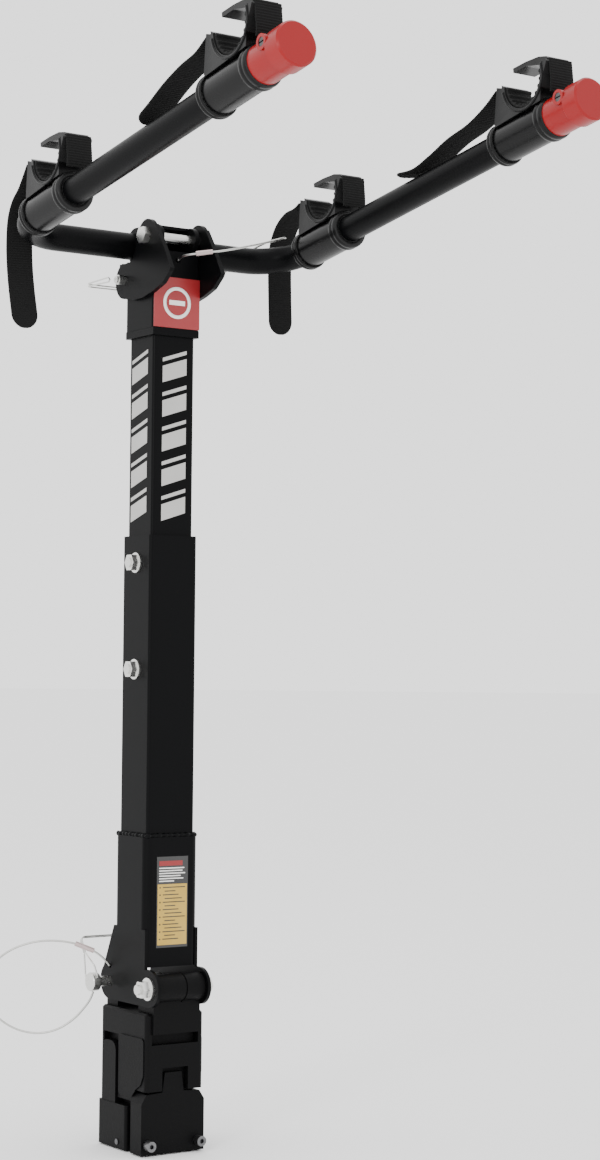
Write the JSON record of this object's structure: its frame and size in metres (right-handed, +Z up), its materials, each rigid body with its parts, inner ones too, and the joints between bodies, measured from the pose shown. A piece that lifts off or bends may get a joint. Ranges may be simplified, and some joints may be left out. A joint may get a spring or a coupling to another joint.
{
  "type": "hitch mounted bike rack",
  "caption": "Hanging hitch rack: square steel mast on a hinged foot, folding yoke of two round arms, strap cradles and lock pins on cable lanyards.",
  "frame": {"origin": "centre of the mast's axis on the bottom face of the foot", "axes": "+Z up along the mast, +X the way the arms point, +Y to the side of the lower pin tip"},
  "size_m": [0.5455, 0.3446, 0.9682],
  "materials": {
    "webbing": "ribbed woven nylon webbing",
    "liner_rubber": "soft black rubber",
    "cradle_plastic": "moulded black plastic, satin",
    "red_cap": "moulded red plastic",
    "black_screw": "black oxide steel",
    "badge_red": "printed red film",
    "label_film": "printed film label",
    "crimp_metal": "crimped ferrule",
    "steel_cable": "twisted steel cable",
    "cast_black": "textured black powder coat",
    "bush_plastic": "plain bearing bush",
    "dark_steel": "black zinc",
    "zinc_plate": "bright zinc plate",
    "black_powder_coat": "satin black powder coat"
  },
  "bodies": {
    "base": {"base_core": "cast_black", "pin_saddle": "cast_black", "base_housing": "cast_black", "side_panels": "cast_black", "rear_shoe": "cast_black", "front_shoe": "cast_black", "shoe_pin": "dark_steel", "shoe_screws": "dark_steel", "hinge_bush": "bush_plastic"},
    "mast": {"head_badge": "badge_red", "head_plate_left": "black_powder_coat", "head_plate_right": "black_powder_coat", "head_sleeve": "black_powder_coat", "head_weld": "black_powder_coat", "hinge_bolt": "zinc_plate", "hinge_nut": "zinc_plate", "hinge_washers": "zinc_plate", "lower_ferrule": "crimp_metal", "lower_lanyard": "steel_cable", "mast_label": "label_film", "mast_lower": "black_powder_coat", "mast_sleeve": "black_powder_coat", "mast_upper": "black_powder_coat", "pivot_bolt": "zinc_plate", "pivot_nut": "zinc_plate", "sleeve_bolts": "zinc_plate", "sleeve_nuts": "zinc_plate", "sleeve_washers": "zinc_plate", "sleeve_weld": "black_powder_coat", "upper_ferrule": "crimp_metal", "upper_lanyard": "steel_cable"},
    "yoke": {"arm_cap_left": "red_cap", "arm_cap_right": "red_cap", "arm_tube": "black_powder_coat", "cap_screws": "black_screw", "cradle_inner_left": "cradle_plastic", "cradle_inner_right": "cradle_plastic", "cradle_outer_left": "cradle_plastic", "cradle_outer_right": "cradle_plastic", "hook_inner_left": "cradle_plastic", "hook_inner_right": "cradle_plastic", "hook_outer_left": "cradle_plastic", "hook_outer_right": "cradle_plastic", "liner_inner_left": "liner_rubber", "liner_inner_right": "liner_rubber", "liner_outer_left": "liner_rubber", "liner_outer_right": "liner_rubber", "strap_inner_left": "webbing", "strap_inner_right": "webbing", "strap_outer_left": "webbing", "strap_outer_right": "webbing", "yoke_bracket": "black_powder_coat"},
    "lower_pin": {"lower_pin": "zinc_plate"},
    "lower_bail": {"lower_bail": "zinc_plate"},
    "upper_pin": {"upper_pin": "zinc_plate"},
    "upper_bail": {"upper_bail": "zinc_plate"}
  },
  "joints": [
    {"name": "mast_tilt", "type": "hinge", "parent": "base", "child": "mast", "pos_m": [0.0365, 0, 0.152], "axis": [0, 1, 0], "range_deg": [0, 90]},
    {"name": "arms_fold", "type": "hinge", "parent": "mast", "child": "yoke", "pos_m": [0.019, 0, 0.851], "axis": [0, 1, 0], "range_deg": [0, 95]},
    {"name": "lower_pin_pull", "type": "slide", "parent": "mast", "child": "lower_pin", "axis": [0, -1, 0], "range_m": [0, 0.072], "deforming": ["lower_lanyard", "lower_ferrule"]},
    {"name": "lower_bail_swing", "type": "hinge", "parent": "lower_pin", "child": "lower_bail", "pos_m": [-0.036, -0.046, 0.152], "axis": [0.8319, 0, 0.5549], "range_deg": [0, 75]},
    {"name": "upper_pin_pull", "type": "slide", "parent": "mast", "child": "upper_pin", "axis": [0, 1, 0], "range_m": [0, 0.062], "deforming": ["upper_lanyard", "upper_ferrule"]},
    {"name": "upper_bail_swing", "type": "hinge", "parent": "upper_pin", "child": "upper_bail", "pos_m": [-0.02, 0.048, 0.8135], "axis": [0, 0, -1], "range_deg": [0, 65]}
  ],
  "couplings": [
    {"joint": "lower_bail_swing", "follows": "lower_pin_pull", "rad_per_m": 17.453},
    {"joint": "upper_bail_swing", "follows": "upper_pin_pull", "rad_per_m": 17.453}
  ]
}
